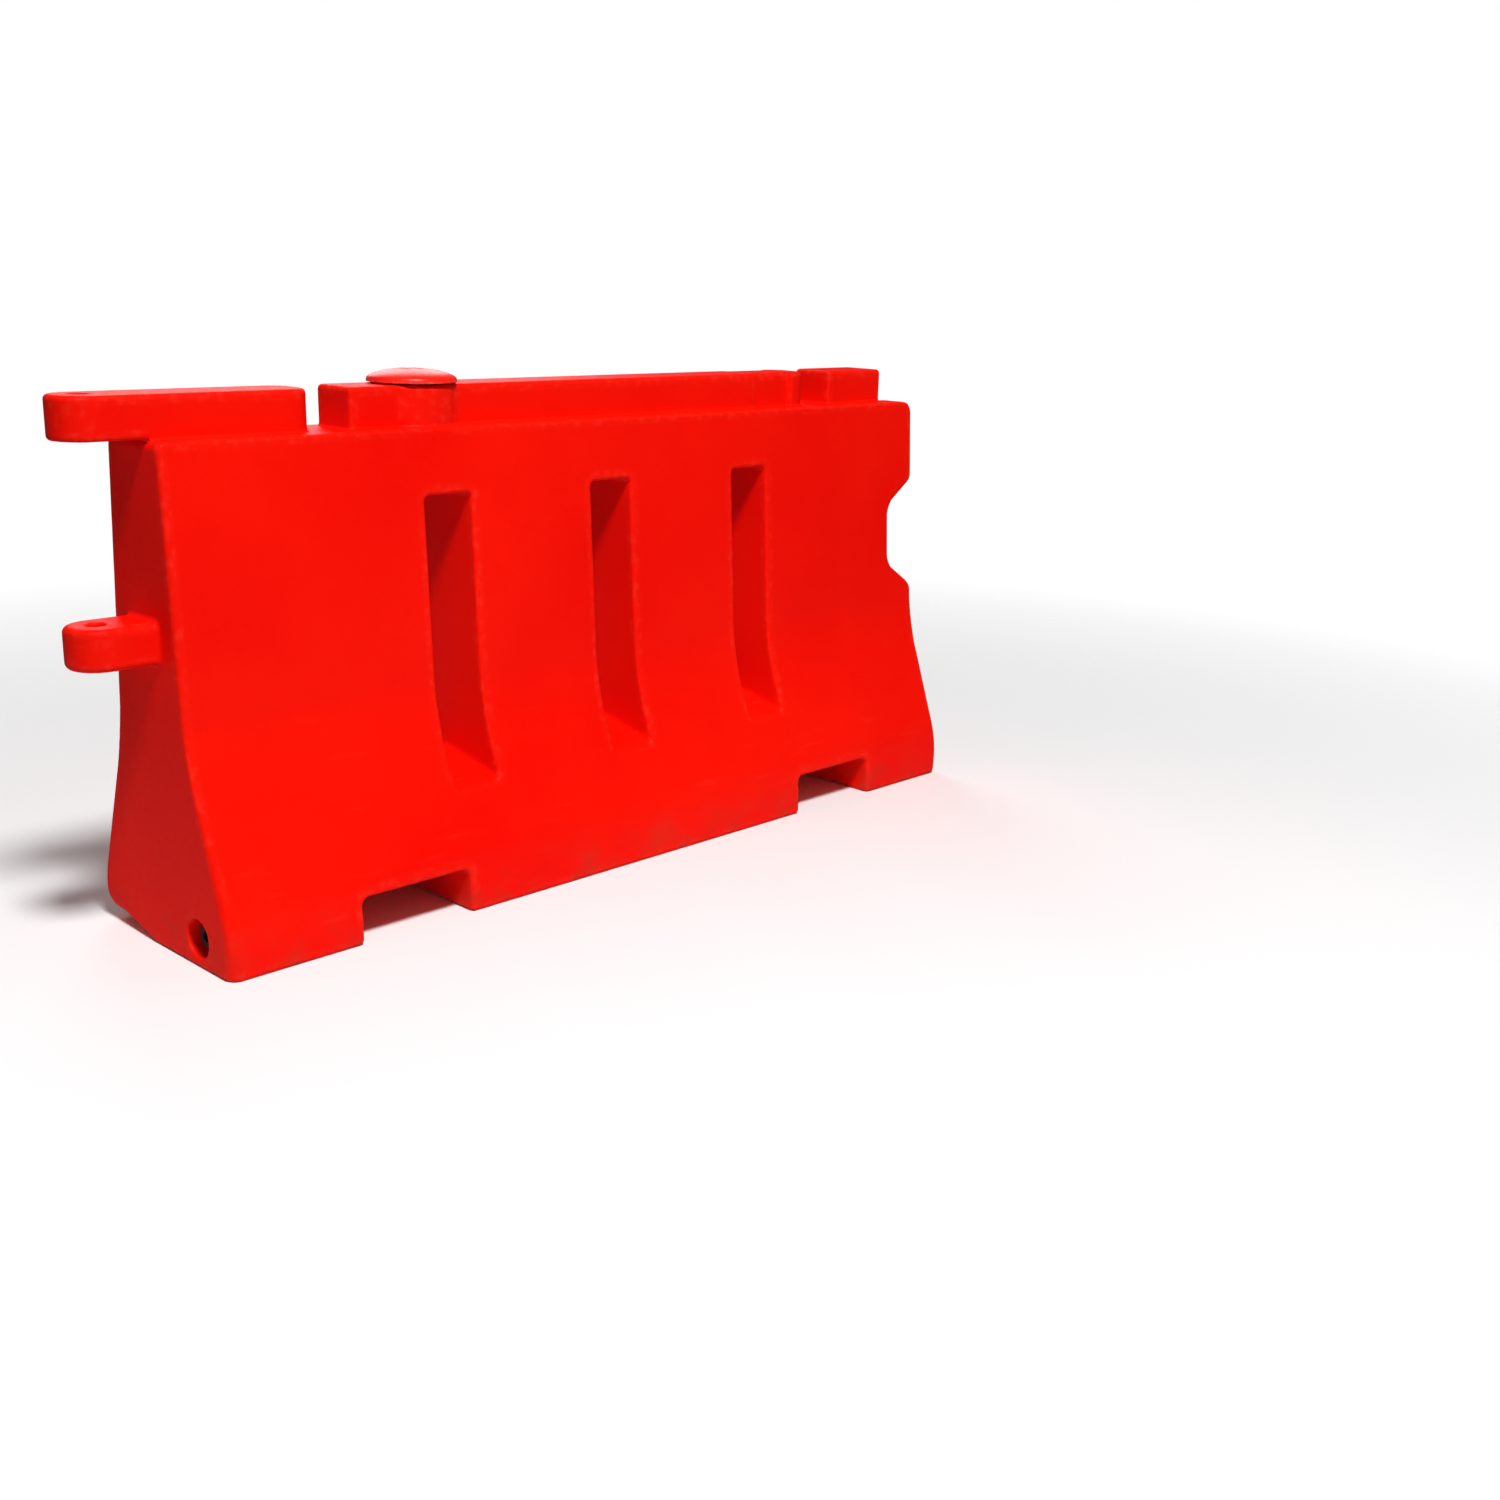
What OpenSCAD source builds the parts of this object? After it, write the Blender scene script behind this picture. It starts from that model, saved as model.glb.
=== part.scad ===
// Water filled road barrier: a hollow moulded body with a coupling arm and lug at its left
// end, a seat and a socket for the next barrier at its right end, and two screwed closures.
// X runs along the barrier from the arm end to the seat end, Y across it, Z up.
// The origin is on the ground under the middle of the body.

/* [Body] */
// Length of the body, without the arm and lug
body_l = 2000; // [1800:10:2400]
// Width of the toe at the ground
base_w = 460; // [420:5:600]
// Height of the upright band at the toe
toe_h = 88; // [70:1:110]
// Width of the body at the crease above the flared base
crease_w = 240; // [220:2:300]
// Height of the crease
crease_h = 376; // [320:2:460]
// Width of the body at the shoulder ledge
shoulder_w = 174; // [172:2:210]
// Height of the shoulder ledge
shoulder_h = 925; // [820:5:1150]
// Wall thickness of the moulding
wall = 8; // [5:0.5:10]
// Radius of the body's upright corners at the toe
corner_r = 30; // [20:1:60]

/* [Top rail] */
// Height of the rail and arm above the ledge
rail_h = 75; // [70:1:110]
// Width of the rail and arm
rail_w = 108; // [96:2:120]
// How far the arm and lug reach past the left end
overhang = 140; // [130:1:160]
// Length of the arm that stands on the body
arm_l = 326; // [260:2:360]
// Clear width of each gap across the rail
gap_w = 72; // [60:1:120]
// Distance from the right end to the gap near it
gap_inset = 278; // [250:2:320]
// Plan radius of the right-hand corners of the arm and rail
rail_r = 42; // [20:1:46]
// Plan radius of the right-hand corners of the end block
block_r = 12; // [11:1:30]
// Length of the waist in the rail
waist_l = 115; // [80:1:140]
// Depth of the waist on each side of the rail
waist_d = 12; // [6:1:16]
// Length of rail between the waist and the gap
waist_inset = 60; // [20:1:80]

/* [Coupling] */
// Height of the lug above the ground
lug_z = 540; // [480:5:600]
// Height of the lug itself
lug_h = 75; // [60:1:90]
// Diameter of the coupling pin
pin_d = 32; // [25:1:38]
// Radial clearance round the coupling pin
pin_clear = 1; // [0.5:0.1:2]
// Gap left between two coupled bodies
couple_gap = 60; // [54:1:66]
// Clearance between a coupled arm or lug and the next barrier
nose_clear = 4; // [2:0.5:8]
// Room above the lug inside the socket
socket_over = 57; // [20:1:60]
// Room below the lug inside the socket
socket_under = 8; // [4:1:20]
// Rise of the socket's roof and floor towards its mouth
socket_flare = 56; // [30:1:70]

/* [Slots and fork pockets] */
// Number of slots through the body
slot_n = 3; // [2:1:4]
// Width of each slot
slot_w = 108; // [80:1:130]
// Distance between slot centres
slot_pitch = 415; // [360:5:450]
// Height of the top of the slots
slot_top = 797; // [700:1:820]
// Height of the slot floor's crown at the middle of the body
slot_crown = 268; // [250:1:300]
// Fall of the slot floor from its crown to the base slope
slot_fall = 34; // [10:1:60]
// Clear width of each fork pocket
fork_w = 246; // [180:2:280]
// Distance between fork pocket centres
fork_pitch = 1200; // [900:10:1300]

/* [Fill opening] */
// Distance of the fill opening from the left end
fill_x = 574; // [520:1:640]
// Radius of the round boss that carries the fill opening
boss_r = 80; // [76:1:84]
// Bore radius of the fill neck
neck_r = 46; // [38:1:50]
// Wall of the threaded fill neck
neck_wall = 14; // [10:1:16]
// Depth of the fill neck below the rail top
neck_depth = 45; // [30:1:55]
// How far the cap's rim reaches past the boss
cap_over = 6; // [2:1:10]
// Height of the domed cap above its rim
dome_h = 20; // [14:1:26]
// Radius of the flat crown of the cap
crown_r = 28; // [24:1:36]
// Thread pitch of the fill cap
cap_pitch = 4; // [3:0.5:6]
// Turns that raise the cap to the end of its travel
cap_turns = 4; // [3:1:5]

/* [Drain] */
// Distance of the drain from the middle plane, towards the front
drain_y = 119; // [80:1:130]
// Height of the drain above the ground
drain_z = 54; // [50:1:62]
// Radius of the round pocket that shields the drain
pocket_r = 36; // [32:1:40]
// Depth of the drain pocket
pocket_d = 38; // [30:1:45]
// Bore radius of the drain bush
drain_r = 15; // [12:0.5:18]
// Wall of the drain bush
bush_wall = 5; // [4:0.5:7]
// Length of the drain bush
bush_l = 26; // [22:1:34]
// Thread pitch of the drain plug
plug_pitch = 3; // [2:0.5:4]
// Turns that draw the plug out to the end of its travel
plug_turns = 5; // [4:1:6]
// Width of the plug head across its flats
plug_af = 40; // [34:1:46]
// Length of the plug head
plug_head_l = 14; // [10:1:18]

/* [Closures] */
// Thickness of both sealing rings
seal_t = 3; // [2:0.5:5]
// Radial clearance between a threaded stem and its bore
thread_clear = 0.4; // [0.3:0.05:0.8]
// Length of stem still in its bore at the end of the travel
stem_grip = 3; // [2:0.5:5]
// Wall of the fill cap
cap_wall = 4; // [3:0.5:6]
// Wall of the drain plug
plug_wall = 4; // [3:0.5:5]

/* [Hidden] */
$fn = 96;
eps = 1;
left = -body_l / 2;
right = body_l / 2;
top_h = shoulder_h + rail_h;
rail_half = rail_w / 2;
// The pin hole is at the centre of the round noses
pin_x = left - overhang + rail_half;
pin_r = pin_d / 2 + pin_clear;
tube_r = pin_r + wall;
lug_top = lug_z + lug_h;
// The next barrier's noses reach this far over the right end
seat_l = overhang - couple_gap + nose_clear;
seat_x = right - seat_l;
seat_pin_x = right + couple_gap - overhang + rail_half;
socket_lo = lug_z - socket_under;
socket_hi = lug_top + socket_over;
socket_mid = (socket_lo + socket_hi) / 2;
seat_cut = seat_x - 3 * wall;
// Flat spot that squares the pin hole's lower end in the sloping roof of the socket
spot_land = 6;
spot_r = pin_r + spot_land;
spot_z = socket_hi + socket_flare * (seat_pin_x + spot_r - seat_x) / seat_l;
arm_end = left + arm_l;
rail_start = arm_end + gap_w;
block_start = right - gap_inset;
rail_end = block_start - gap_w;
waist_end = rail_end - waist_inset;
cap_x = left + fill_x;
slot_x = [for (i = [0 : slot_n - 1]) (i - (slot_n - 1) / 2) * slot_pitch];
fork_x = [-fork_pitch / 2, fork_pitch / 2];
// Half width of the flared base at a height between toe and crease
function flare_y(z) = base_w / 2 - (base_w - crease_w) / 2 * (z - toe_h) / (crease_h - toe_h);
slot_edge = slot_crown - slot_fall;
neck_out = neck_r + neck_wall;
neck_rib = 4;
seal_edge = 2;
seal_out = neck_out - seal_edge;
cap_r = boss_r + cap_over;
cap_under = top_h + seal_t;
cap_rim = cap_under + cap_wall;
cap_top = cap_rim + dome_h;
cap_stem = cap_pitch * cap_turns + stem_grip;
dome_steps = 6;
// Two slots in the crown for a cap key
key_w = 9;
key_d = 4;
key_land = 3;
key_x = crown_r / 2;
key_half = sqrt(pow(crown_r - key_land, 2) - pow(key_x + key_w / 2, 2));
bush_out = drain_r + bush_wall;
bush_rib = 3;
drain_seat = left + pocket_d;
plug_stem = plug_pitch * plug_turns + stem_grip;
flange_edge = 2;
flange_t = 4;
plug_hole_r = 10;
plug_hole_d = 10;

// Cross section of the body, drawn in at every wall by t
module section(t) {
    polygon([[-base_w / 2 + t, t], [base_w / 2 - t, t],
             [base_w / 2 - t, toe_h], [crease_w / 2 - t, crease_h],
             [shoulder_w / 2 - t, shoulder_h - t], [-shoulder_w / 2 + t, shoulder_h - t],
             [-crease_w / 2 + t, crease_h], [-base_w / 2 + t, toe_h]]);
}

// Body without its cuts, drawn in by t
module body(t) {
    half_l = body_l / 2 - t;
    half_w = base_w / 2 - t;
    r = corner_r - t;
    intersection() {
        translate([-half_l, 0, 0]) rotate([90, 0, 90]) linear_extrude(2 * half_l) section(t);
        linear_extrude(top_h) {
            square([2 * half_l - 2 * r, 2 * half_w], center = true);
            square([2 * half_l, 2 * half_w - 2 * r], center = true);
            for (end = [-1, 1]) for (side = [-1, 1])
                translate([end * (half_l - r), side * (half_w - r)]) circle(r);
        }
    }
}

// Plan outline of a block on the ledge, square at x0 and with corner radius r at x1
module block_plan(x0, x1, half, r) {
    translate([x0, -half]) square([x1 - x0 - r, 2 * half]);
    translate([x1 - r - eps, -half + r]) square([r + eps, 2 * (half - r)]);
    for (side = [-1, 1]) translate([x1 - r, side * (half - r)]) circle(r);
}

// Plan outlines of the arm, rail and end block where they stand on the ledge, drawn in by t
module arm_plan(t) {
    block_plan(left + t, arm_end - t, rail_half - t, rail_r - t);
}

module rail_plan(t) {
    difference() {
        block_plan(rail_start + t, rail_end - t, rail_half - t, rail_r - t);
        for (y = [-rail_half - eps, rail_half - waist_d - t])
            translate([waist_end - waist_l - t, y]) square([waist_l + 2 * t, waist_d + t + eps]);
    }
    translate([cap_x, 0]) circle(boss_r - t);
}

module end_plan(t) {
    block_plan(block_start + t, seat_x - t, rail_half - t, block_r - t);
}

// Plan outline of the round nose on the arm and lug, drawn in by t and ending at x1
module nose_plan(t, x1) {
    translate([pin_x, 0]) circle(rail_half - t);
    translate([pin_x, -rail_half + t]) square([x1 - pin_x, rail_w - 2 * t]);
}

// A plan outline raised from the ledge to the rail top, less t
module raised(t) {
    low = t > 0 ? eps : 0;
    translate([0, 0, shoulder_h - low]) linear_extrude(rail_h + low - t) children();
}

// Slots through the body, grown by t
module slots(t) {
    crown = slot_crown - t;
    run = base_w / 2;
    drop = slot_fall * run / flare_y(slot_edge);
    for (x = slot_x)
        translate([x - slot_w / 2 - t, 0, 0]) rotate([90, 0, 90]) linear_extrude(slot_w + 2 * t)
            polygon([[-run, crown - drop], [0, crown], [run, crown - drop],
                     [run, slot_top + t], [-run, slot_top + t]]);
}

// Fork pockets across the base, grown by t
module forks(t) {
    for (x = fork_x)
        translate([x - fork_w / 2 - t, -base_w / 2 - eps, -eps])
            cube([fork_w + 2 * t, base_w + 2 * eps, toe_h + t + eps]);
}

// Socket across the right end that takes the next barrier's lug, grown by t
module socket(t) {
    translate([0, base_w / 2, 0]) rotate([90, 0, 0]) linear_extrude(base_w)
        polygon([[seat_x - t, socket_lo - t], [right + eps, socket_lo - socket_flare - t],
                 [right + eps, socket_hi + socket_flare + t], [seat_x - t, socket_hi + t]]);
}

// Upright posts or holes of radius r on the coupling pin's axes
module pin_posts(r) {
    translate([pin_x, 0, lug_z - eps]) cylinder(r = r, h = lug_h + 2 * eps);
    translate([pin_x, 0, shoulder_h - eps]) cylinder(r = r, h = rail_h + 2 * eps);
    translate([seat_pin_x, 0, socket_lo]) cylinder(r = r, h = shoulder_h - socket_lo + eps);
}

// Round pocket and bush hole of the drain, grown by t
module drain_space(t) {
    through = t > 0 ? 0 : eps;
    translate([left - eps, -drain_y, drain_z]) rotate([0, 90, 0]) {
        cylinder(r = pocket_r + t, h = pocket_d + eps + t);
        cylinder(r = bush_out + t, h = pocket_d + bush_l + eps + through);
    }
    translate([drain_seat + bush_l / 2 - bush_rib, -drain_y, drain_z]) rotate([0, 90, 0])
        cylinder(r = bush_out + bush_rib + t, h = 2 * bush_rib);
}

// Round hole that holds the fill neck, grown by t
module neck_space(t) {
    translate([cap_x, 0, top_h - neck_depth - t]) cylinder(r = neck_out + t, h = neck_depth + t + eps);
    translate([cap_x, 0, top_h - neck_depth / 2 - neck_rib])
        cylinder(r = neck_out + neck_rib + t, h = 2 * neck_rib);
}

// Chamber inside the lug, which runs on through the body's end wall
module lug_chamber() {
    translate([0, 0, lug_z + wall]) linear_extrude(lug_h - 2 * wall) nose_plan(wall, left + 2 * wall);
}

// Water chamber inside the body, open into the lug and into the pieces on the ledge
module body_chamber() {
    difference() {
        union() {
            body(wall);
            lug_chamber();
            translate([0, 0, shoulder_h - 2 * wall]) linear_extrude(2 * wall + eps) {
                arm_plan(wall);
                rail_plan(wall);
                end_plan(wall);
            }
        }
        slots(wall);
        forks(wall);
        socket(wall);
        pin_posts(tube_r);
        drain_space(wall);
    }
}

// The moulding up to the ledge, hollow and with all its cuts
module body_shell() {
    difference() {
        body(0);
        body_chamber();
        slots(0);
        forks(0);
        socket(0);
        pin_posts(pin_r);
        translate([seat_pin_x, 0, socket_lo]) cylinder(r = spot_r, h = spot_z - socket_lo);
        drain_space(0);
    }
}

// All space between two heights and right of x0, across the full width
module span(x0, z0, z1) {
    translate([x0, -base_w / 2 - eps, z0]) cube([right + 2 * eps - x0, base_w + 2 * eps, z1 - z0]);
}

// The moulding is one hollow piece, drawn as seven zones that join face to face:
// base, wall_section, seat, arm, lug, rail and end_block

// Flared base up to the crease, with the feet, fork pockets and drain pocket
module base() {
    color("red") intersection() {
        body_shell();
        span(left - eps, -eps, crease_h);
    }
}

// Upper body from the crease to the ledge, without the seat
module wall_section() {
    color("orangered") difference() {
        body_shell();
        span(left - eps, -eps, crease_h);
        span(seat_cut, socket_mid, shoulder_h + eps);
    }
}

// Seat over the socket, which carries the next barrier's arm and pin
module seat() {
    color("tomato") intersection() {
        body_shell();
        span(seat_cut, socket_mid, shoulder_h + eps);
    }
}

// Arm on the ledge that reaches over the next barrier's seat
module arm() {
    color("crimson") difference() {
        raised(0) {
            arm_plan(0);
            nose_plan(0, left + wall);
        }
        difference() {
            union() {
                raised(wall) arm_plan(wall);
                translate([0, 0, shoulder_h + wall]) linear_extrude(rail_h - 2 * wall)
                    nose_plan(wall, left + 2 * wall);
            }
            pin_posts(tube_r);
        }
        pin_posts(pin_r);
    }
}

// Lug on the left end that fills the next barrier's socket
module lug() {
    color("crimson") difference() {
        translate([0, 0, lug_z]) linear_extrude(lug_h) nose_plan(0, left);
        difference() {
            lug_chamber();
            pin_posts(tube_r);
        }
        pin_posts(pin_r);
    }
}

// Rail on the ledge with the boss for the fill opening
module rail() {
    color("firebrick") difference() {
        raised(0) rail_plan(0);
        difference() {
            raised(wall) rail_plan(wall);
            neck_space(wall);
        }
        neck_space(0);
        translate([cap_x, 0, top_h - neck_depth - wall - eps]) cylinder(r = neck_r, h = wall + 2 * eps);
    }
}

// Block at the end of the rail, a stop for the next barrier's arm
module end_block() {
    color("firebrick") difference() {
        raised(0) end_plan(0);
        raised(wall) end_plan(wall);
    }
}

// Threaded collar moulded into the boss
module fill_neck() {
    color("dimgray") translate([cap_x, 0, top_h - neck_depth]) difference() {
        union() {
            cylinder(r = neck_out, h = neck_depth);
            translate([0, 0, neck_depth / 2 - neck_rib])
                cylinder(r = neck_out + neck_rib, h = 2 * neck_rib);
        }
        translate([0, 0, -eps]) cylinder(r = neck_r, h = neck_depth + 2 * eps);
    }
}

module fill_cap_seal() {
    color("black") translate([cap_x, 0, top_h]) difference() {
        cylinder(r = seal_out, h = seal_t);
        translate([0, 0, -eps]) cylinder(r = neck_r, h = seal_t + 2 * eps);
    }
}

// Domed screw cap with a hollow threaded stem and two key slots
module fill_cap() {
    stem_r = neck_r - thread_clear;
    // The dome's profile is midway between a cone and a quarter ellipse
    dome = [for (i = [1 : dome_steps - 1]) let (a = 90 * i / dome_steps)
            [crown_r + (cap_r - crown_r) * sin(a), cap_rim + dome_h * (cos(a) + 1 - i / dome_steps) / 2]];
    color("red") translate([cap_x, 0, 0]) difference() {
        rotate_extrude() polygon(concat(
            [[0, cap_top], [crown_r, cap_top]], dome,
            [[cap_r, cap_rim], [cap_r, cap_under], [stem_r, cap_under], [stem_r, top_h - cap_stem],
             [stem_r - cap_wall, top_h - cap_stem], [stem_r - cap_wall, cap_rim],
             [crown_r, cap_top - key_d - cap_wall], [0, cap_top - key_d - cap_wall]]));
        for (side = [-1, 1])
            translate([side * key_x - key_w / 2, -key_half, cap_top - key_d])
                cube([key_w, 2 * key_half, key_d + eps]);
    }
}

// Threaded bush moulded into the floor of the drain pocket
module drain_bush() {
    color("goldenrod") translate([drain_seat, -drain_y, drain_z]) rotate([0, 90, 0]) difference() {
        union() {
            cylinder(r = bush_out, h = bush_l);
            translate([0, 0, bush_l / 2 - bush_rib])
                cylinder(r = bush_out + bush_rib, h = 2 * bush_rib);
        }
        translate([0, 0, -eps]) cylinder(r = drain_r, h = bush_l + 2 * eps);
    }
}

module drain_plug_seal() {
    color("black") translate([drain_seat - seal_t, -drain_y, drain_z]) rotate([0, 90, 0])
        difference() {
            cylinder(r = bush_out, h = seal_t);
            translate([0, 0, -eps]) cylinder(r = drain_r, h = seal_t + 2 * eps);
        }
}

// Hexagon headed drain plug with a flange and a hollow threaded stem
module drain_plug() {
    stem_r = drain_r - thread_clear;
    stem_l = plug_stem + seal_t;
    head_end = -flange_t - plug_head_l;
    color("darkslategray") translate([drain_seat - seal_t, -drain_y, drain_z]) rotate([0, 90, 0])
        difference() {
            union() {
                cylinder(r = stem_r, h = stem_l);
                translate([0, 0, -flange_t]) cylinder(r = bush_out + flange_edge, h = flange_t);
                translate([0, 0, head_end]) cylinder(d = plug_af / cos(30), h = plug_head_l, $fn = 6);
            }
            translate([0, 0, plug_wall]) cylinder(r = stem_r - plug_wall, h = stem_l);
            translate([0, 0, head_end - eps]) cylinder(r = plug_hole_r, h = plug_hole_d + eps);
        }
}

base();
wall_section();
seat();
arm();
lug();
rail();
end_block();
fill_neck();
fill_cap_seal();
fill_cap();
drain_bush();
drain_plug_seal();
drain_plug();
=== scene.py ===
"""Looks for the water filled barrier: a smooth moulded skin, its closures, light and camera."""

import math

import bpy
import numpy as np
from mathutils import Matrix, Vector


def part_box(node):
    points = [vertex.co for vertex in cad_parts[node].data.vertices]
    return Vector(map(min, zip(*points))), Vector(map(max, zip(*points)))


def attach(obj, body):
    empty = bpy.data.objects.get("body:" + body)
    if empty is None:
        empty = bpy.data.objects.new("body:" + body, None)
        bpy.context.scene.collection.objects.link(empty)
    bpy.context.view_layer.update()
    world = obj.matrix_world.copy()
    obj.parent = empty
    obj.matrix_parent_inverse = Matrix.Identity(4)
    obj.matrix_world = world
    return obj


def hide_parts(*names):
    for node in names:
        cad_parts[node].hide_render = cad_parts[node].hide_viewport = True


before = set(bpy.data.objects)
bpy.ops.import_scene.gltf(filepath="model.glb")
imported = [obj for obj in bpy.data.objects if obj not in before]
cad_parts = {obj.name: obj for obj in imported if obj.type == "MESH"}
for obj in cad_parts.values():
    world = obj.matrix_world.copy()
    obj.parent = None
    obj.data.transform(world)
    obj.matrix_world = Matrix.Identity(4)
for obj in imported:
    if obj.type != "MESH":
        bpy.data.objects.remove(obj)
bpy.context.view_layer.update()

# --- places in metres, from the frame ---------------------------------------------------------

base_low, base_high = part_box("base")
wall_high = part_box("wall_section")[1]
arm_low, arm_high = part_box("arm")
lug_low, lug_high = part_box("lug")
rail_low, rail_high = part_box("rail")
block_low, block_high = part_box("end_block")
neck_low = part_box("fill_neck")[0]
cap_low, cap_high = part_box("fill_cap")
cap_seal_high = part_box("fill_cap_seal")[1]
bush_low, bush_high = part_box("drain_bush")
plug_low, plug_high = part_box("drain_plug")
plug_seal_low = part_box("drain_plug_seal")[0]

LEFT, RIGHT = base_low[0], base_high[0]
CREASE_H, SHOULDER, TOP = base_high[2], wall_high[2], rail_high[2]
BASE_HALF, CREASE_HALF, RAIL_HALF = base_high[1], wall_high[1], block_high[1]
BOSS_R = rail_high[1]
PIN_X = arm_low[0] + RAIL_HALF
CAP_X, CAP_R = (cap_low[0] + cap_high[0]) / 2, (cap_high[0] - cap_low[0]) / 2
DRAIN_Y, DRAIN_Z = (bush_low[1] + bush_high[1]) / 2, (bush_low[2] + bush_high[2]) / 2

# --- sizes in metres that no box tells, as in the CAD part ------------------------------------

TOE_H, SHOULDER_HALF = 0.088, 0.087
RAIL_R, BLOCK_R = 0.042, 0.012
WAIST_START, WAIST_END, WAIST_DEPTH = 0.475, 0.590, 0.012
SEAT_PIN_X, PIN_R = 0.974, 0.017
SOCKET_LOW, SOCKET_HIGH, SOCKET_FLARE = 0.532, 0.672, 0.056
SLOT_XS, SLOT_HALF, SLOT_TOP = (-0.415, 0.0, 0.415), 0.054, 0.797
SLOT_CROWN, SLOT_FALL, SLOT_FOOT = 0.268, 0.034, 0.175
FORK_XS, FORK_HALF = (-0.6, 0.6), 0.123
NECK_OUT, NECK_R = 0.060, 0.046
CLOSURE_WALL, CROWN_R, CAP_STEM_R, CAP_PITCH = 0.004, 0.028, 0.0456, 0.004
KEY_X, KEY_HALF_W, KEY_HALF_L, KEY_DEPTH = 0.014, 0.0045, 0.0168, 0.004
POCKET_R, BUSH_R = 0.036, 0.020
PLUG_AF, FLANGE_R, FLANGE_T, PLUG_STEM_R, PLUG_PITCH = 0.040, 0.022, 0.004, 0.0146, 0.003
RECESS_R, RECESS_DEPTH = 0.010, 0.010

# --- distance functions: negative inside, rounded joins -------------------------------------


def both(a, b, r=None):
    """Overlap of two shapes, its outer edge rounded to radius r, or sharp without one."""
    if r is None:
        return np.maximum(a, b)
    return np.minimum(-r, np.maximum(a, b)) + np.hypot(np.maximum(a + r, 0), np.maximum(b + r, 0))


def either(a, b, r=None):
    """Union of two shapes, its inner corner filled to radius r."""
    return -both(-a, -b, r)


def cut(a, b, r=None):
    """Shape a without shape b."""
    return both(a, -b, r)


def plane(along, up, low, high):
    """Distance from the line through low = (up, along) and high, positive on the outside."""
    slope = (low[1] - high[1]) / (high[0] - low[0])
    return (along - low[1] + slope * (up - low[0])) / math.hypot(1, slope)


def fade(value, start, end):
    """0 at start, 1 at end, straight between them."""
    return np.clip((value - start) / (end - start), 0, 1)


def nearest(x, middles):
    """Distance along the barrier from the nearest of several middles."""
    return np.min([np.abs(x - middle) for middle in middles], axis=0)


# --- the moulding -----------------------------------------------------------------------------


def body(x, y, z):
    """Flared foot and upright wall, solid, without what stands on the ledge."""
    crease_r, toe_r, ledge_r = 0.020, 0.020, 0.009
    side = np.abs(y)
    flare = plane(side, z, (TOE_H, BASE_HALF), (CREASE_H, CREASE_HALF))
    upper = plane(side, z, (CREASE_H, CREASE_HALF), (SHOULDER, SHOULDER_HALF))
    walls = both(either(flare, upper, crease_r), side - BASE_HALF, toe_r)
    # The ledge is rounder over the ends than along the sides
    left_r, right_r = 0.018, 0.030
    ends = both(both(x - RIGHT, z - SHOULDER, right_r), both(LEFT - x, z - SHOULDER, left_r))
    # The upright corners are rounder towards the ground
    upright_r, more_at_ground, ground_zone = 0.009, 0.015, 0.30
    shape = both(walls, ends, upright_r + more_at_ground * fade(z, ground_zone, 0.0))
    shape = both(shape, z - SHOULDER, ledge_r)
    # The underside's edge is roundest at the back corner of the left foot
    foot_r, more_at_heel = 0.010, 0.050
    heel_front, heel_back, heel_start, heel_full = 0.04, 0.18, LEFT + 0.30, LEFT + 0.06
    heel = more_at_heel * fade(y, heel_front, heel_back) * fade(x, heel_start, heel_full)
    return both(shape, -z, foot_r + heel)


def nose_plan(x, y):
    """Round nose at the left, flat sides."""
    return np.where(x < PIN_X, np.hypot(x - PIN_X, y), np.abs(y)) - RAIL_HALF


def block_plan(x, y, start, end, r):
    """Block with crisp corners at the left and corners of radius r at the right."""
    crisp_r = 0.007
    return both(both(np.abs(y) - RAIL_HALF, start - x, crisp_r), x - end, r)


def on_ledge(x, y, z):
    """Arm, rail with its boss, and end block. They run down into the body."""
    waist_r, waist_edge_r, boss_fillet, top_r, under_r = 0.006, 0.008, 0.012, 0.009, 0.007
    arm = both(nose_plan(x, y), x - arm_high[0], RAIL_R)
    rail = block_plan(x, y, rail_low[0], rail_high[0], RAIL_R)
    waist = both(WAIST_START - x, x - WAIST_END)
    waist = both(waist, RAIL_HALF - WAIST_DEPTH - np.abs(y), waist_r)
    rail = cut(rail, waist, waist_edge_r)
    rail = either(rail, np.hypot(x - CAP_X, y) - BOSS_R, boss_fillet)
    block = block_plan(x, y, block_low[0], block_high[0], BLOCK_R)
    pieces = np.minimum(np.minimum(rail, block), arm)
    # Past the body's left end the arm's underside is at the height of the ledge
    sunk, drop_start, drop_end = 0.05, LEFT + 0.005, LEFT + 0.025
    under = SHOULDER - sunk * fade(x, drop_start, drop_end)
    return both(both(pieces, z - TOP, top_r), under - z, under_r)


def lug(x, y, z):
    """Round-nosed lug, with its root inside the body."""
    root, edge_r = 0.03, 0.012
    mid, half = (lug_low[2] + lug_high[2]) / 2, (lug_high[2] - lug_low[2]) / 2
    return both(both(nose_plan(x, y), x - LEFT - root), np.abs(z - mid) - half, edge_r)


def slots(x, y, z):
    """Slots right through the body. Their floors fall away to the front and the back."""
    roof_r, floor_r = 0.012, 0.014
    floor = SLOT_CROWN - SLOT_FALL * np.abs(y) / SLOT_FOOT
    return both(both(nearest(x, SLOT_XS) - SLOT_HALF, z - SLOT_TOP, roof_r), floor - z, floor_r)


def forks(x, z):
    """Fork pockets, open below."""
    roof_r = 0.016
    return both(nearest(x, FORK_XS) - FORK_HALF, z - TOE_H, roof_r)


def socket(x, z):
    """Socket in the right end for the next barrier's lug, wider at its mouth."""
    back_r = 0.016
    start = block_high[0]
    roof = plane(z, x, (start, SOCKET_HIGH), (RIGHT, SOCKET_HIGH + SOCKET_FLARE))
    floor = -plane(z, x, (start, SOCKET_LOW), (RIGHT, SOCKET_LOW - SOCKET_FLARE))
    return both(both(roof, floor), start - x, back_r)


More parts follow.
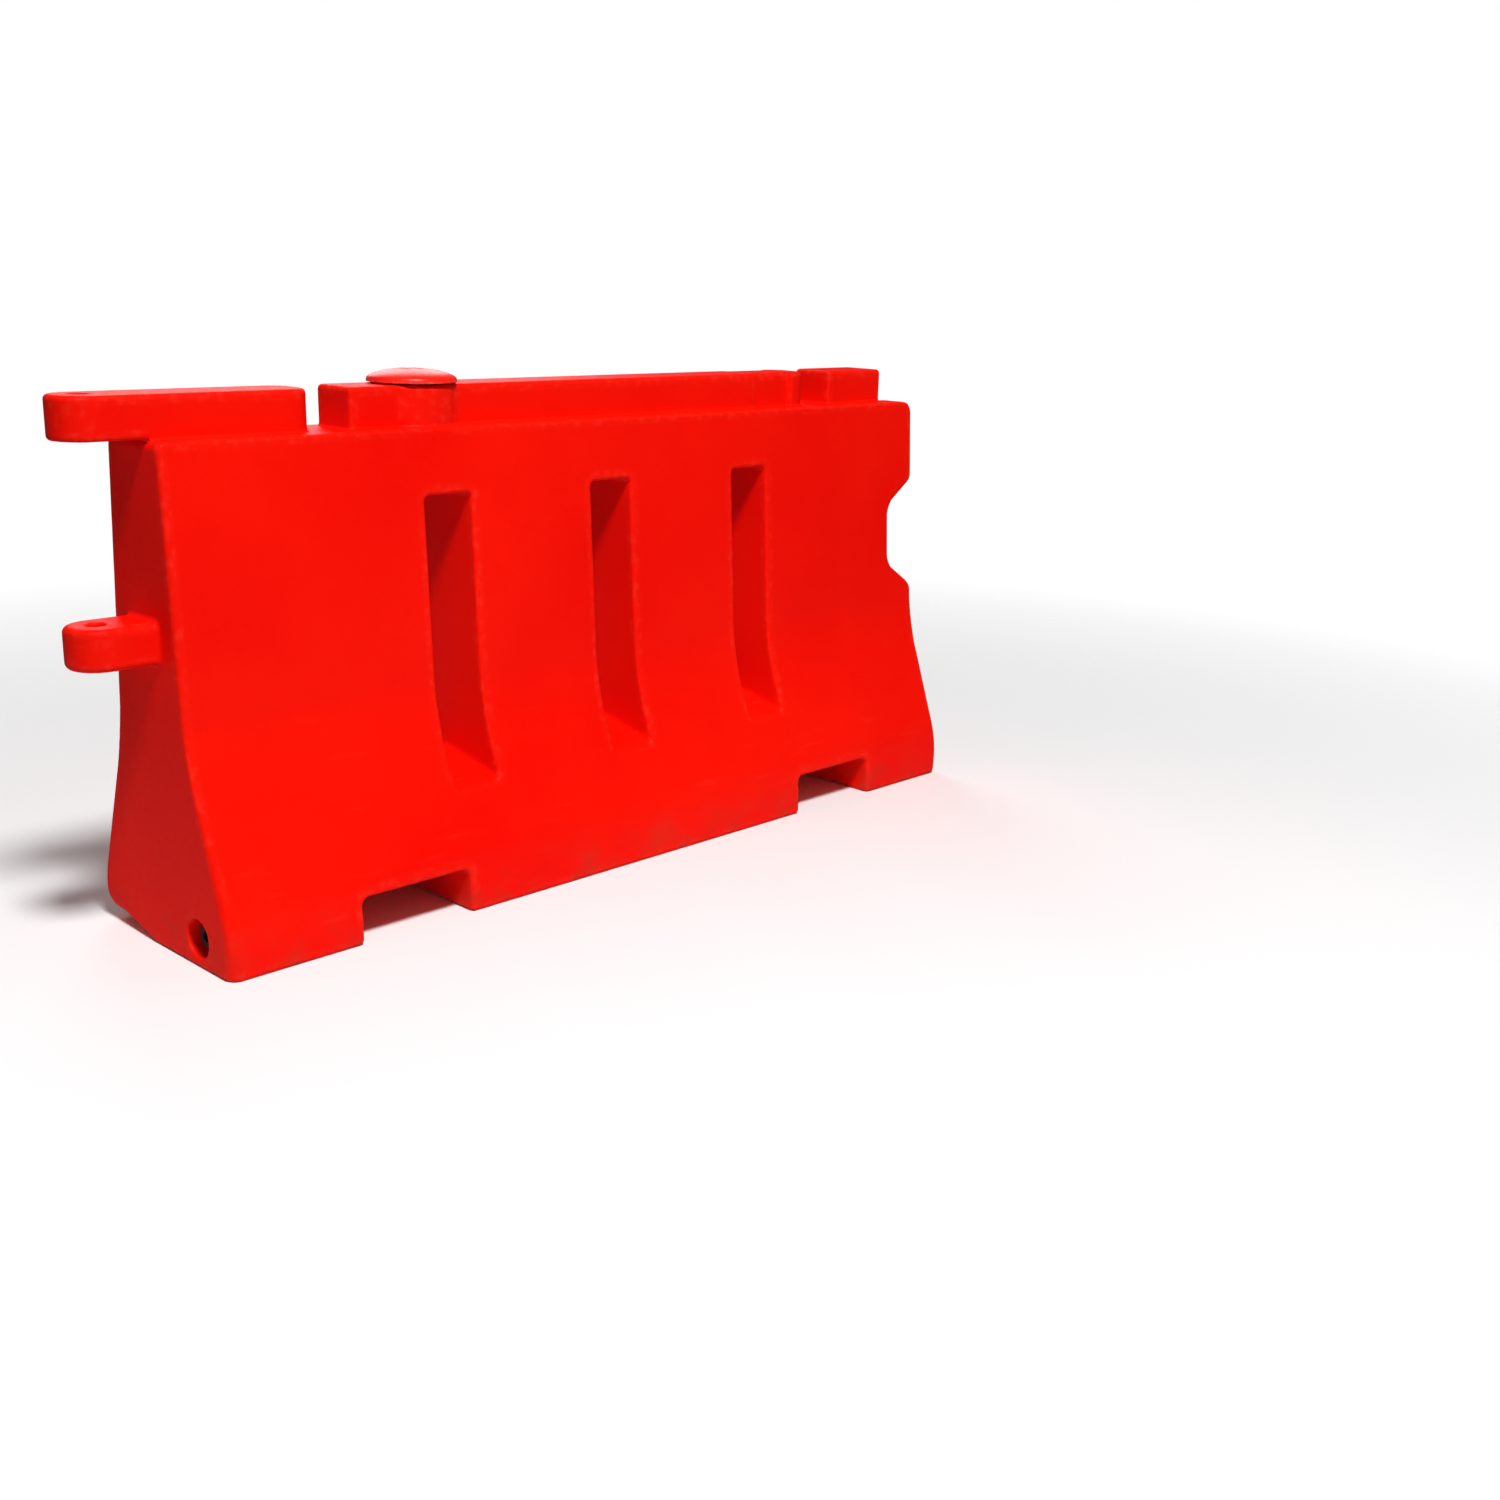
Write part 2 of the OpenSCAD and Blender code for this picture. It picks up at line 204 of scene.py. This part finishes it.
def shell_field(x, y, z):
    """The outside of the moulding, with its holes."""
    slot_edge_r, fork_edge_r, socket_edge_r = 0.008, 0.010, 0.018
    ledge_fillet, lug_fillet = 0.007, 0.009
    shape = cut(body(x, y, z), slots(x, y, z), slot_edge_r)
    shape = cut(shape, forks(x, z), fork_edge_r)
    shape = cut(shape, socket(x, z), socket_edge_r)
    shape = either(shape, on_ledge(x, y, z), ledge_fillet)
    shape = either(shape, lug(x, y, z), lug_fillet)
    # Pin holes
    pin_edge_r = 0.004
    shape = cut(shape, np.hypot(x - PIN_X, y) - PIN_R, pin_edge_r)
    shape = cut(shape, both(np.hypot(x - SEAT_PIN_X, y) - PIN_R, SOCKET_LOW - z), pin_edge_r)
    # Drain pocket and the hole for its bush
    pocket_r, pocket_edge_r = 0.004, 0.005
    drain = np.hypot(y - DRAIN_Y, z - DRAIN_Z)
    shape = cut(shape, both(drain - POCKET_R, x - bush_low[0], pocket_r), pocket_edge_r)
    shape = cut(shape, both(drain - BUSH_R, x - bush_high[0]))
    # Seat of the neck and the well under it, which ends above the roof of the slot below
    seat_edge_r, roof_t = 0.002, 0.03
    fill = np.hypot(x - CAP_X, y)
    shape = cut(shape, both(fill - NECK_OUT, neck_low[2] - z), seat_edge_r)
    return cut(shape, both(fill - NECK_R, SLOT_TOP + roof_t - z))


# --- the closures -----------------------------------------------------------------------------


def thread(radius, angle, along, crest, depth, pitch):
    """Right-hand threaded rod whose crests reach the radius crest."""
    # Straight flanks between flat crests and roots, each about a ninth of the pitch wide
    flank_rise, root_level = 2.6, 0.15
    # The flanks rise faster than a distance would, so all of it is eased for the net's steps
    ease = 0.7
    turns = along / pitch - angle / math.tau
    wave = np.clip(flank_rise * np.abs(turns - np.floor(turns) - 0.5) - root_level, 0, 1)
    return (radius - crest + depth * (1 - wave)) * ease


def cap_field(x, y, z):
    """Domed cap with two key slots and a hollow threaded stem."""
    rim_r, under_r, key_r, fine_r = 0.003, 0.0012, 0.003, 0.001
    stem_edge_r, stem_fillet = 0.0015, 0.0008
    thread_depth = 0.0013
    across = x - CAP_X
    radius, angle = np.hypot(across, y), np.arctan2(y, across)
    under, rim, top = cap_seal_high[2], cap_seal_high[2] + CLOSURE_WALL, cap_high[2]
    # The dome's profile is the mean of a quarter ellipse and an arc cosine
    out = fade(radius, CROWN_R, CAP_R)
    lean = np.arcsin(out)
    dome = rim + (top - rim) * (np.cos(lean) + 1 - lean / (math.pi / 2)) / 2
    # Its slope has no limit at the rim, so a least value holds it there
    least = 0.03
    steep = (top - rim) * (out + 2 / math.pi) / 2 / (CAP_R - CROWN_R)
    dome_gap = (z - dome) / np.hypot(1, steep / np.sqrt(np.maximum(1 - out ** 2, least)))
    head = both(both(radius - CAP_R, dome_gap, rim_r), under - z, under_r)
    key = both(np.abs(np.abs(across) - KEY_X) - KEY_HALF_W, np.abs(y) - KEY_HALF_L, key_r)
    head = cut(head, both(key, top - KEY_DEPTH - z, fine_r), fine_r)
    stem = thread(radius, angle, z, CAP_STEM_R, thread_depth, CAP_PITCH)
    stem = both(both(stem, cap_low[2] - z, stem_edge_r), z - rim)
    cap = either(head, stem, stem_fillet)
    return cut(cap, both(radius - CAP_STEM_R + CLOSURE_WALL, z - rim, fine_r), fine_r)


def plug_field(x, y, z):
    """Hexagon head with chamfered corners, flange and threaded stem, pointing along -X."""
    edge_r, chamfer_r, fine_r, flange_fillet = 0.0008, 0.0005, 0.001, 0.0012
    stem_edge_r, bore_r = 0.0015, 0.0006
    thread_depth = 0.0011
    v, u = y - DRAIN_Y, z - DRAIN_Z
    radius, angle = np.hypot(u, v), np.arctan2(v, u)
    flange_in = plug_seal_low[0]
    cos_30 = math.sqrt(3) / 2
    flats = np.maximum(np.abs(v / 2 + u * cos_30), np.abs(v / 2 - u * cos_30))
    flats = np.maximum(np.abs(v), flats)
    head = both(both(flats - PLUG_AF / 2, plug_low[0] - x, edge_r), x - flange_in)
    chamfer = (radius - PLUG_AF / 2) / 2 - (x - plug_low[0]) * cos_30
    head = both(head, chamfer, chamfer_r)
    flange = both(radius - FLANGE_R, both(flange_in - FLANGE_T - x, x - flange_in), fine_r)
    plug = either(head, flange, flange_fillet)
    plug = cut(plug, both(radius - RECESS_R, x - plug_low[0] - RECESS_DEPTH, fine_r), fine_r)
    stem = thread(radius, angle, -x, PLUG_STEM_R, thread_depth, PLUG_PITCH)
    stem = both(both(stem, x - plug_high[0], stem_edge_r), flange_in - FLANGE_T / 2 - x)
    bore = both(radius - PLUG_STEM_R + CLOSURE_WALL, flange_in + CLOSURE_WALL - x)
    return either(plug, cut(stem, bore, bore_r), bore_r)


# --- surface net ------------------------------------------------------------------------------

# Slopes are measured over a step this many times finer than the grid's
FINER = 12


def gradient(field, p, step):
    """Slope of the field at each point p."""
    out = np.empty_like(p)
    for axis in range(3):
        shift = np.zeros(3)
        shift[axis] = step
        ahead, behind = p + shift, p - shift
        out[:, axis] = (field(*ahead.T) - field(*behind.T)) / (2 * step)
    return out


def crossings(values, cells):
    """For each cell, the mean place at which the surface crosses its edges, from 0 to 1."""
    total = np.zeros((len(cells), 3))
    weight = np.zeros(len(cells))
    for start in np.ndindex(2, 2, 2):
        for axis in range(3):
            if start[axis]:
                continue
            end = list(start)
            end[axis] = 1
            va = values[tuple((cells + start).T)]
            vb = values[tuple((cells + end).T)]
            hit = (va < 0) != (vb < 0)
            spot = np.tile(np.array(start, float), (len(cells), 1))
            spot[:, axis] = np.where(hit, va / np.where(hit, va - vb, 1), 0)
            total[hit] += spot[hit]
            weight[hit] += 1
    return total / weight[:, None]


def quads(inside, index):
    """A quad round each grid edge that the surface crosses, facing outwards."""
    faces = []
    for axis in range(3):
        u, v = (axis + 1) % 3, (axis + 2) % 3
        here = [slice(1, -1)] * 3
        here[axis] = slice(0, -1)
        there = list(here)
        there[axis] = slice(1, None)
        a, b = inside[tuple(here)], inside[tuple(there)]
        offset = np.array([1, 1, 1])
        offset[axis] = 0
        for mask, flip in ((a & ~b, False), (~a & b, True)):
            edge = np.argwhere(mask) + offset
            # The four cells round the edge, in turn
            ring = []
            for du, dv in ((-1, -1), (0, -1), (0, 0), (-1, 0)):
                cell = edge.copy()
                cell[:, u] += du
                cell[:, v] += dv
                ring.append(index[tuple(cell.T)])
            quad = np.stack(ring, 1)
            faces.append(quad[:, ::-1] if flip else quad)
    return np.concatenate(faces)


def net(field, low, high, step):
    """One point in each grid cell that the surface crosses, moved onto it, joined by quads."""
    before, after, rounds, least_slope = 1.5, 2.5, 5, 0.05
    axes = [np.arange(a - before * step, b + after * step, step) for a, b in zip(low, high)]
    values = field(axes[0][:, None, None], axes[1][None, :, None], axes[2][None, None, :])
    inside = values < 0
    count = np.zeros([n - 1 for n in inside.shape], np.int8)
    for i, j, k in np.ndindex(2, 2, 2):
        count += inside[i:i + count.shape[0], j:j + count.shape[1], k:k + count.shape[2]]
    # A cell is crossed if some of its eight corners are inside and some aren't
    cells = np.argwhere((count > 0) & (count < 8))
    index = np.full(count.shape, -1, np.int32)
    index[tuple(cells.T)] = np.arange(len(cells))
    origin = np.array([a[0] for a in axes])
    points = origin + (cells + crossings(values, cells)) * step
    for _ in range(rounds):
        slope = gradient(field, points, step / FINER)
        size = np.maximum((slope ** 2).sum(1), least_slope)
        points -= np.clip(field(*points.T) / size, -step, step)[:, None] * slope
    return points, quads(inside, index)


def net_object(name, field, low, high, step, edge_depth):
    """Mesh of a distance function, with exact normals and how far each point sits on an outer edge,
    which paints it pale as rubbing and as a painted highlight.
    """
    points, faces = net(field, low, high, step)
    normals = gradient(field, points, step / FINER)
    tiny = 1e-9
    normals /= np.maximum(np.linalg.norm(normals, axis=1), tiny)[:, None]
    # A point under an outer edge is less deep than one under a flat; outer edges get painted pale,
    # partly rubbing and partly a painted highlight
    contrast = 4
    inner = points - normals * edge_depth
    wear_and_highlight = np.clip((1 + field(*inner.T) / edge_depth) * contrast, 0, 1)
    mesh = bpy.data.meshes.new(name)
    mesh.vertices.add(len(points))
    mesh.vertices.foreach_set("co", points.astype(np.float32).ravel())
    mesh.loops.add(faces.size)
    mesh.loops.foreach_set("vertex_index", faces.astype(np.int32).ravel())
    mesh.polygons.add(len(faces))
    mesh.polygons.foreach_set("loop_start", np.arange(0, faces.size, 4, dtype=np.int32))
    mesh.update(calc_edges=True)
    mesh.polygons.foreach_set("use_smooth", np.ones(len(mesh.polygons), bool))
    mesh.normals_split_custom_set_from_vertices(normals)
    mesh.attributes.new("wear_and_highlight", "FLOAT", "POINT").data.foreach_set("value", wear_and_highlight.astype(np.float32))
    obj = bpy.data.objects.new(name, mesh)
    bpy.context.scene.collection.objects.link(obj)
    return obj


# --- materials --------------------------------------------------------------------------------

# Sockets of the mix node when it mixes colours
MIX_FACTOR, MIX_A, MIX_B, MIX_RESULT = 0, 6, 7, 2


class Look:
    """A material's node tree, with short calls for the nodes that every material uses."""

    def __init__(self, name):
        self.mat = bpy.data.materials.new(name)
        self.mat.use_nodes = True
        self.tree = self.mat.node_tree
        self.shader = self.tree.nodes["Principled BSDF"]
        self.place = self.tree.nodes.new("ShaderNodeTexCoord").outputs["Object"]

    def node(self, kind, inputs, **settings):
        """Adds a node. An input is a value or another node's output."""
        made = self.tree.nodes.new(kind)
        for key, value in settings.items():
            setattr(made, key, value)
        for key, value in inputs.items():
            if isinstance(value, bpy.types.NodeSocket):
                self.tree.links.new(value, made.inputs[key])
            else:
                made.inputs[key].default_value = value
        return made

    def noise(self, scale, detail=2.0, stretch=(1, 1, 1)):
        spread = self.node("ShaderNodeMapping", {"Vector": self.place, "Scale": stretch})
        inputs = {"Vector": spread.outputs["Vector"], "Scale": scale, "Detail": detail}
        return self.node("ShaderNodeTexNoise", inputs).outputs["Fac"]

    def ramp(self, value, start, end, low=0.0, high=1.0):
        """low where the value is start, high where it is end, and held beyond them."""
        inputs = {"Value": value, "From Min": start, "From Max": end, "To Min": low, "To Max": high}
        return self.node("ShaderNodeMapRange", inputs).outputs["Result"]

    def times(self, a, b):
        return self.node("ShaderNodeMath", {0: a, 1: b}, operation="MULTIPLY").outputs[0]

    def mix(self, factor, a, b):
        """Colour a, which may come from another node, turning to colour b as factor grows."""
        first = a if isinstance(a, bpy.types.NodeSocket) else (*a, 1)
        inputs = {MIX_FACTOR: factor, MIX_A: first, MIX_B: (*b, 1)}
        return self.node("ShaderNodeMix", inputs, data_type="RGBA").outputs[MIX_RESULT]

    def height(self):
        return self.node("ShaderNodeSeparateXYZ", {"Vector": self.place}).outputs["Z"]

    def attribute(self, name):
        return self.node("ShaderNodeAttribute", {}, attribute_name=name).outputs["Fac"]

    def bump(self, *layers):
        """Each layer is (height, depth in metres, strength)."""
        normal = None
        for height, depth, strength in layers:
            inputs = {"Height": height, "Distance": depth, "Strength": strength}
            if normal:
                inputs["Normal"] = normal
            normal = self.node("ShaderNodeBump", inputs).outputs["Normal"]
        self.tree.links.new(normal, self.shader.inputs["Normal"])

    def set(self, colour, rough, **fixed):
        """Links colour and roughness, sets the rest, and gives the finished material."""
        self.tree.links.new(colour, self.shader.inputs["Base Color"])
        self.tree.links.new(rough, self.shader.inputs["Roughness"])
        for key, value in fixed.items():
            self.shader.inputs[key.replace("_", " ")].default_value = value
        return self.mat


def red_polyethylene():
    """Red moulding: edges painted pale for rubbing and as a painted highlight, faint scuffs along
    it, and road dust on the feet.
    """
    deep, bright = (0.84, 0.0030, 0.0002), (0.90, 0.0055, 0.0006)
    rubbed_and_highlight, scuffed, dusty = (1.0, 0.085, 0.045), (0.92, 0.055, 0.03), (0.30, 0.045, 0.022)
    look = Look("red_polyethylene")
    clouds = look.ramp(look.noise(2.3, detail=3), 0.35, 0.65)
    tint = look.mix(clouds, deep, bright)
    uneven = look.ramp(look.noise(60, detail=8), 0.50, 0.66, 0.02, 0.14)
    # Outer edges turn pale pink: partly rubbing, partly a painted highlight along them
    tint = look.mix(look.times(look.attribute("wear_and_highlight"), uneven), tint, rubbed_and_highlight)
    streaks = look.ramp(look.noise(7, detail=8, stretch=(1, 9, 9)), 0.63, 0.74, 0, 0.12)
    lower = look.ramp(look.height(), 0.75, 0.10)
    tint = look.mix(look.times(streaks, lower), tint, scuffed)
    feet = look.ramp(look.height(), 0.11, 0.0, 0, 0.40)
    spots = look.ramp(look.noise(13, detail=6), 0.45, 0.70)
    tint = look.mix(look.times(feet, spots), tint, dusty)
    rough = look.ramp(look.noise(55, detail=5), 0.3, 0.7, 0.40, 0.52)
    ripples, peel = look.noise(4.5, detail=1), look.noise(330, detail=2)
    look.bump((ripples, 0.006, 0.22), (peel, 0.0005, 0.28))
    return look.set(tint, rough, Specular_IOR_Level=0.15, IOR=1.25)


def cap_plastic():
    """Red cap, a little glossier than the moulding, its edges painted pale for rubbing and as a
    painted highlight.
    """
    deep, bright, rubbed_and_highlight = (0.80, 0.007, 0.001), (0.88, 0.011, 0.002), (1.0, 0.12, 0.08)
    look = Look("red_cap_plastic")
    tint = look.mix(look.ramp(look.noise(26, detail=3), 0.35, 0.65), deep, bright)
    uneven = look.ramp(look.noise(90, detail=4), 0.42, 0.62, 0.05, 0.4)
    # Outer edges turn pale: partly rubbing, partly a painted highlight
    tint = look.mix(look.times(look.attribute("wear_and_highlight"), uneven), tint, rubbed_and_highlight)
    rough = look.ramp(look.noise(160, detail=4), 0.3, 0.7, 0.30, 0.42)
    look.bump((look.noise(700, detail=2), 0.0002, 0.25))
    return look.set(tint, rough, Specular_IOR_Level=0.35)


def dark_plastic(name, dark, light):
    """Moulded plastic between two close dark colours."""
    look = Look(name)
    tint = look.mix(look.ramp(look.noise(60, detail=4), 0.35, 0.7), dark, light)
    rough = look.ramp(look.noise(240, detail=4), 0.3, 0.7, 0.38, 0.55)
    look.bump((look.noise(900, detail=2), 0.00015, 0.3))
    return look.set(tint, rough, Specular_IOR_Level=0.4)


def seal_rubber():
    """Dull black rubber."""
    black, chalky = (0.012, 0.012, 0.012), (0.05, 0.047, 0.044)
    look = Look("black_rubber")
    tint = look.mix(look.ramp(look.noise(120, detail=5), 0.4, 0.7), black, chalky)
    rough = look.ramp(look.noise(400, detail=3), 0.3, 0.7, 0.62, 0.82)
    look.bump((look.noise(1400, detail=3), 0.00012, 0.4))
    return look.set(tint, rough, Specular_IOR_Level=0.3)


def bush_brass():
    """Brass with darker tarnish."""
    clean, tarnished = (0.58, 0.36, 0.12), (0.20, 0.13, 0.06)
    look = Look("dull_brass")
    tint = look.mix(look.ramp(look.noise(90, detail=6), 0.42, 0.68), clean, tarnished)
    rough = look.ramp(look.noise(150, detail=5), 0.3, 0.7, 0.30, 0.55)
    look.bump((look.noise(600, detail=3), 0.0001, 0.35))
    return look.set(tint, rough, Metallic=1.0)


# --- pieces -----------------------------------------------------------------------------------


def make_piece(name, material, rides, stands_for, field, low, high, grid, edge_depth):
    """Nets a piece, gives it its material, ties it to its body, and hides the nodes it stands for.
    """
    piece = net_object(name, field, low, high, grid, edge_depth)
    piece.data.materials.append(material)
    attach(piece, rides)
    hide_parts(*stands_for)


def dress(node, material):
    """Gives a material to a CAD node that is shown as it is."""
    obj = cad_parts[node]
    for slot in obj.material_slots:
        slot.material = material


MOULDING = ("base", "wall_section", "seat", "arm", "lug", "rail", "end_block")
make_piece("moulded_shell", red_polyethylene(), "barrier", MOULDING, shell_field,
           (arm_low[0], -BASE_HALF, 0.0), (RIGHT, BASE_HALF, TOP), grid=0.005, edge_depth=0.020)
make_piece("screw_cap", cap_plastic(), "cap", ("fill_cap",), cap_field,
           cap_low, cap_high, grid=0.0012, edge_depth=0.004)
black_plastic = dark_plastic("black_plug_plastic", (0.010, 0.012, 0.011), (0.035, 0.038, 0.036))
make_piece("hex_plug", black_plastic, "plug", ("drain_plug",), plug_field,
           plug_low, plug_high, grid=0.0007, edge_depth=0.002)
dress("fill_neck", dark_plastic("grey_neck_plastic", (0.055, 0.055, 0.058), (0.11, 0.11, 0.11)))
dress("drain_bush", bush_brass())
rubber = seal_rubber()
dress("fill_cap_seal", rubber)
dress("drain_plug_seal", rubber)

# --- stage, light and camera ------------------------------------------------------------------


def floor():
    """Pale floor that fades out into the white backdrop well away from the barrier."""
    fade_start, fade_end = 1.3, 3.6
    bpy.ops.mesh.primitive_circle_add(vertices=96, radius=40, fill_type="NGON")
    obj = bpy.context.object
    obj.name = "floor"
    look = Look("pale_floor")
    look.shader.inputs["Base Color"].default_value = (0.90, 0.90, 0.90, 1)
    look.shader.inputs["Roughness"].default_value = 0.9
    look.shader.inputs["Specular IOR Level"].default_value = 0.1
    away = look.node("ShaderNodeVectorMath", {0: look.place}, operation="LENGTH").outputs["Value"]
    clear = look.node("ShaderNodeBsdfTransparent", {}).outputs[0]
    inputs = {0: look.ramp(away, fade_start, fade_end), 1: look.shader.outputs[0], 2: clear}
    blended = look.node("ShaderNodeMixShader", inputs).outputs[0]
    look.tree.links.new(blended, look.tree.nodes["Material Output"].inputs["Surface"])
    obj.data.materials.append(look.mat)
    # Its bright reflection would wash the red out
    obj.visible_glossy = False


def backdrop():
    """White dome that only the camera sees."""
    bpy.ops.mesh.primitive_uv_sphere_add(segments=48, ring_count=24, radius=38)
    obj = bpy.context.object
    obj.name = "backdrop"
    look = Look("white_backdrop")
    white = look.node("ShaderNodeEmission", {"Color": (1, 1, 1, 1), "Strength": 1.0}).outputs[0]
    look.tree.links.new(white, look.tree.nodes["Material Output"].inputs["Surface"])
    obj.data.materials.append(look.mat)
    obj.visible_diffuse = False
    obj.visible_glossy = False
    obj.visible_shadow = False
    obj.visible_transmission = False


def area_light(name, place, size, power):
    """Square light aimed at the middle of the barrier."""
    middle = Vector((0, 0, 0.5))
    data = bpy.data.lights.new(name, "AREA")
    data.shape = "SQUARE"
    data.size = size
    data.energy = power
    obj = bpy.data.objects.new(name, data)
    obj.location = place
    obj.rotation_euler = (middle - Vector(place)).to_track_quat("-Z", "Y").to_euler()
    bpy.context.scene.collection.objects.link(obj)


def lights():
    """High key light in front, large soft light behind, and a dim white sky."""
    area_light("key", (-1.7, -3.3, 6.0), size=1.0, power=480)
    area_light("back_fill", (2.5, 5.0, 3.5), size=3.0, power=90)
    sky_strength = 0.13
    world = bpy.data.worlds.new("studio")
    world.use_nodes = True
    world.node_tree.nodes["Background"].inputs["Color"].default_value = (1, 1, 1, 1)
    world.node_tree.nodes["Background"].inputs["Strength"].default_value = sky_strength
    bpy.context.scene.world = world
    bpy.context.scene.view_settings.view_transform = "Standard"


def camera():
    """Camera at the photograph's angle, fitted to corners read off both barriers in it."""
    place = (-2.3907, -2.7598, 1.2267)
    heading, down, roll = math.radians(46.77), math.radians(15.72), math.radians(1.65)
    data = bpy.data.cameras.new("camera")
    data.lens = 41.0
    data.sensor_width = 36.0
    obj = bpy.data.objects.new("camera", data)
    bpy.context.scene.collection.objects.link(obj)
    turn = (Matrix.Rotation(-heading, 4, "Z") @ Matrix.Rotation(math.pi / 2 - down, 4, "X")
            @ Matrix.Rotation(roll, 4, "Z"))
    obj.matrix_world = Matrix.Translation(place) @ turn
    bpy.context.scene.camera = obj


floor()
backdrop()
lights()
camera()
